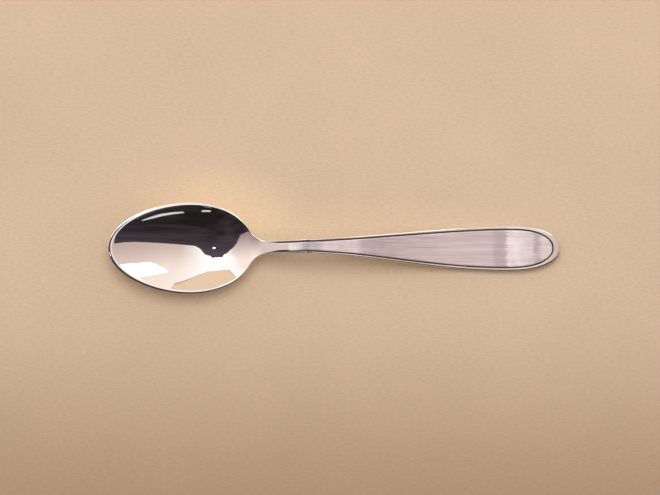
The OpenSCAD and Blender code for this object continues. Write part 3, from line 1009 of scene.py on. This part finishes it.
def on_dome(x, y, radius, centre):
    """Points on a dome about the bowl, in the directions whose plan parts are x and y."""
    up = np.sqrt(np.clip(1 - x*x - y*y, 0, 1))
    parts = (middle + radius*part for middle, part in zip(centre, (x, y, up)))
    return np.stack(np.broadcast_arrays(*parts), -1)


def grid(start, end, steps):
    """Two parameters from their starts to their ends, on a grid."""
    return np.meshgrid(*(np.linspace(a, b, n + 1) for a, b, n in zip(start, end, steps)), indexing="ij")


def put(name, data, right, up, back, place):
    """Puts a lamp or camera into the scene at a place, with its own axes to the right, up and back."""
    made = bpy.data.objects.new(name, data)
    made.matrix_world = Matrix(np.column_stack([right, up, back, place]).tolist() + [[0, 0, 0, 1]])
    bpy.context.scene.collection.objects.link(made)
    return made


class SPOON_OT_bowl(bpy.types.Operator):
    """Adds the mirror polished bowl"""

    bl_idname = "spoon.bowl"
    bl_label = "Bowl"

    def execute(self, context):
        scene = context.scene
        look = scene.spoon_finishes
        half = bowl_half(SpoonShape(scene.spoon_sizes))
        finish = polished_metal("mirror_steel", look.mirror_colour, look.mirror_roughness,
                                haze=0.03, grain=0.02)
        add_half_solid("spoon_bowl", half, True, "bowl", finish)
        return {"FINISHED"}


def polished_steel(look):
    """The finish that the neck and the handle share."""
    return bpy.data.materials.get("polished_steel") or polished_metal(
        "polished_steel", look.polish_colour, look.polish_roughness, haze=0.04, grain=0.015)


class SPOON_OT_neck(bpy.types.Operator):
    """Adds the neck with its narrow polished border"""

    bl_idname = "spoon.neck"
    bl_label = "Neck"

    def execute(self, context):
        shape = SpoonShape(context.scene.spoon_sizes)
        def station(p):
            return mix(shape.neck_start, shape.taper_start, np.clip(p, 0, 1))
        half = frame_half(shape, station, np.linspace(0, 1, NECK_RAYS + 1)[:, None])
        add_half_solid("spoon_neck", half, False, "neck",
                       polished_steel(context.scene.spoon_finishes))
        return {"FINISHED"}


def end_station(shape, start):
    """Stations from a start to the handle's end: even steps for p from 0 to 1, then closer ones up to 2."""
    def station(p):
        end = shape.end_start + shape.z.end_length*np.sin(QUARTER*np.clip(p - 1, 0, 1))
        return np.where(p < 1, mix(start, shape.end_start, np.clip(p, 0, 1)), end)
    return station


def end_steps(straight, rounded):
    """Steps of p for end_station."""
    return np.concatenate([np.linspace(0, 1, straight + 1)[:-1], np.linspace(1, 2, rounded + 1)])[:, None]


class SPOON_OT_handle(bpy.types.Operator):
    """Adds the widening handle with its domed border and its back"""

    bl_idname = "spoon.handle"
    bl_label = "Handle"

    def execute(self, context):
        shape = SpoonShape(context.scene.spoon_sizes)
        half = frame_half(shape, end_station(shape, shape.taper_start), end_steps(*HANDLE_RAYS))
        add_half_solid("spoon_handle", half, True, "handle",
                       polished_steel(context.scene.spoon_finishes))
        return {"FINISHED"}


class SPOON_OT_panel(bpy.types.Operator):
    """Adds the brushed panel inside the border"""

    bl_idname = "spoon.panel"
    bl_label = "Brushed Panel"

    def execute(self, context):
        scene = context.scene
        shape = SpoonShape(scene.spoon_sizes)
        half = panel_half(shape, end_station(shape, shape.neck_start), end_steps(*PANEL_RAYS))
        finish = brushed_metal("brushed_panel", scene.spoon_finishes, scene.spoon_sizes)
        add_half_solid("spoon_panel", half, True, "handle_panel", finish)
        return {"FINISHED"}


class SPOON_OT_line(bpy.types.Operator):
    """Adds the dark line between the panel and the border"""

    bl_idname = "spoon.line"
    bl_label = "Dark Line"

    def execute(self, context):
        scene = context.scene
        shape = SpoonShape(scene.spoon_sizes)
        half = line_half(shape, end_station(shape, shape.neck_start), end_steps(*PANEL_RAYS))
        finish = darkened_metal("dark_line", scene.spoon_finishes.line_colour)
        add_ring_solid("spoon_line", half, "border_line", finish)
        return {"FINISHED"}


class SPOON_OT_stage(bpy.types.Operator):
    """Adds the paper floor, the studio round it, the lamp and the camera"""

    bl_idname = "spoon.stage"
    bl_label = "Stage"

    def execute(self, context):
        scene = context.scene
        stage, sizes = scene.spoon_stage, scene.spoon_sizes
        centre = (-CENTRE_OVERALL*sizes.overall_length + sizes.bowl_length/CENTRE_BOWL, 0.0, CENTRE_HEIGHT)
        self.add_floor(stage, sizes)
        self.add_world(scene, stage)
        self.add_room(stage, centre)
        self.add_cards(stage, centre)
        self.add_lamp(stage, centre)
        self.add_camera(scene, stage)
        scene.view_settings.view_transform = "Standard"
        return {"FINISHED"}

    def add_floor(self, stage, sizes):
        """A flat sheet of paper just under the spoon."""
        x, y = grid((-FLOOR_HALF, -FLOOR_HALF), (FLOOR_HALF, FLOOR_HALF), (FLOOR_STEPS, FLOOR_STEPS))
        sheet = np.stack([x, y, 0*x - FLOOR_GAP], -1)[:, ::-1]
        add_stage_piece("paper_floor", sheet, paper("paper", stage, sizes), True)

    def add_world(self, scene, stage):
        """Warm, even light from all round."""
        world = bpy.data.worlds.new("studio")
        scene.world = world
        world.use_nodes = True
        tree = world.node_tree
        tree.nodes.clear()
        light = {"Color": (*stage.world_colour, 1), "Strength": stage.world_level}
        ground = node(tree, "ShaderNodeBackground", light)
        out = node(tree, "ShaderNodeOutputWorld")
        tree.links.new(ground.outputs["Background"], out.inputs["Surface"])

    def add_room(self, stage, centre):
        """The studio's walls on a half dome, and the dark cloth from the horizon up to its edge."""
        turn, lift = grid((0, 0), (4*QUARTER, QUARTER), ROOM_STEPS)
        walls = on_dome(np.cos(turn)*np.cos(lift), np.sin(turn)*np.cos(lift), ROOM_RADIUS, centre)
        self.hang("room", walls, room_light("room", stage, centre))
        edge_x, edge_y = np.array(CLOTH_EDGE).T
        x, v = grid((edge_x[0], 0), (edge_x[-1], 1), CLOTH_STEPS)
        y = mix(-np.sqrt(1 - x*x), np.interp(x, edge_x, edge_y), v)
        finish = cloth("dark_cloth", stage.cloth_colour, stage.cloth_fold)
        self.hang("dark_cloth", on_dome(x, y, CLOTH_RADIUS, centre), finish)

    def add_cards(self, stage, centre):
        """What else the bowl's mirror shows: white cards, a buff board with its seams, and front strips."""
        white = glowing("white_card", stage.card_colour, stage.card_level)
        board = glowing("buff_board", stage.board_colour, stage.room_level)
        seam = glowing("seam", stage.frame_colour, stage.room_level)
        bright = glowing("bright_card", stage.card_colour, SPARK_LEVEL)
        strip = glowing("front_strip", stage.card_colour, FRONT_LEVEL)
        for name, radius, corners in WHITE_CARDS:
            self.add_card(name, corners, radius, white, centre)
        self.add_card("spark", SPARK_CORNERS, SPARK_RADIUS, bright, centre)
        self.add_apron("board", BOARD_EDGE, CARD_RADIUS, board, centre)
        for finish, strips in ((seam, SEAMS), (strip, FRONT_STRIPS)):
            for name, radius, width, path in strips:
                self.add_strip(name, path, width, finish, radius, centre)

    def hang(self, name, points, finish):
        """Hangs a sheet round the spoon, for its reflections alone."""
        sheet = add_stage_piece(name, points, finish, False)
        sheet.visible_diffuse = False
        sheet.visible_shadow = False

    def add_card(self, name, corners, radius, finish, centre):
        """A card on a dome about the bowl, between four corners given by their directions' plan parts."""
        u, v = grid((0, 0), (1, 1), (CARD_STEPS, CARD_STEPS))
        a, b, c, d = (np.array(corner)[:, None, None] for corner in corners)
        x, y = mix(mix(a, b, u), mix(d, c, u), v)
        self.hang(name, on_dome(x, y, radius, centre), finish)

    def add_apron(self, name, path, radius, finish, centre):
        """A sheet on the dome from a path, given by the plan parts of its directions, down to the horizon."""
        path = np.array(path).T[:, :, None]
        x, y = mix(path, path/np.hypot(*path), columns(BOARD_STEPS)[None])
        self.hang(name, on_dome(x, y, radius, centre), finish)

    def add_strip(self, name, path, width, finish, radius, centre):
        """A narrow strip on the dome, along a path given by the plan parts of its directions."""
        path = np.array(path)
        run = np.gradient(path, axis=0)
        side = unit(np.stack([-run[:, 1], run[:, 0]], -1))*np.reshape(width, (-1, 1))/2
        x, y = np.stack([path - side, path + side], 1).transpose(2, 0, 1)
        self.hang(name, on_dome(x, y, radius, centre), finish)

    def add_lamp(self, stage, centre):
        """A soft square lamp that faces the spoon. Its level is the brightness of its face."""
        lamp = bpy.data.lights.new("key_lamp", "AREA")
        lamp.shape = "RECTANGLE"
        lamp.size = lamp.size_y = LAMP_SIZE
        lamp.energy = stage.lamp_level*math.pi*LAMP_SIZE**2
        back = unit(np.array(LAMP_DIRECTION))
        right = unit(np.cross([0, 0, 1], back))
        place = np.array(centre) + LAMP_DISTANCE*back
        put("key_lamp", lamp, right, np.cross(back, right), back, place).visible_glossy = False

    def add_camera(self, scene, stage):
        """The camera: almost straight down, with the handle to the right."""
        back = np.array([0, -math.sin(stage.tilt), math.cos(stage.tilt)])
        level = np.array([1.0, 0, 0])
        rise = np.cross(back, level)
        right = level*math.cos(stage.roll) + rise*math.sin(stage.roll)
        up = rise*math.cos(stage.roll) - level*math.sin(stage.roll)
        camera = bpy.data.cameras.new("camera")
        camera.sensor_fit = "HORIZONTAL"
        camera.sensor_width = SENSOR
        camera.lens = stage.scale*stage.distance/IMAGE_WIDTH*SENSOR
        camera.clip_start = NEAR_CLIP
        scene.camera = put("camera", camera, right, up, back, np.array(stage.target) + back*stage.distance)


class SPOON_PT_panel(bpy.types.Panel):
    """Lists the spoon's pieces, sizes and finishes"""

    bl_idname = "SPOON_PT_panel"
    bl_label = "Demitasse Spoon"
    bl_space_type = "VIEW_3D"
    bl_region_type = "UI"
    bl_category = "Spoon"

    def draw(self, context):
        layout = self.layout
        for operator in OPERATORS:
            layout.operator(operator.bl_idname)
        for group in GROUPS:
            column = layout.column(align=True)
            column.label(text=group.__doc__.rstrip("."))
            settings = getattr(context.scene, GROUPS[group])
            for key in group.__annotations__:
                column.prop(settings, key)


GROUPS = {SpoonSizes: "spoon_sizes", SpoonFinishes: "spoon_finishes", SpoonStage: "spoon_stage"}
OPERATORS = (SPOON_OT_bowl, SPOON_OT_neck, SPOON_OT_handle, SPOON_OT_panel, SPOON_OT_line, SPOON_OT_stage)


def register():
    for group, name in GROUPS.items():
        bpy.utils.register_class(group)
        setattr(bpy.types.Scene, name, PointerProperty(type=group))
    for made in (*OPERATORS, SPOON_PT_panel):
        bpy.utils.register_class(made)


def unregister():
    for made in (SPOON_PT_panel, *reversed(OPERATORS)):
        bpy.utils.unregister_class(made)
    for group, name in GROUPS.items():
        delattr(bpy.types.Scene, name)
        bpy.utils.unregister_class(group)


def main():
    register()
    bpy.ops.spoon.bowl()
    bpy.ops.spoon.neck()
    bpy.ops.spoon.handle()
    bpy.ops.spoon.panel()
    bpy.ops.spoon.line()
    bpy.ops.spoon.stage()


if __name__ == "__main__":
    main()
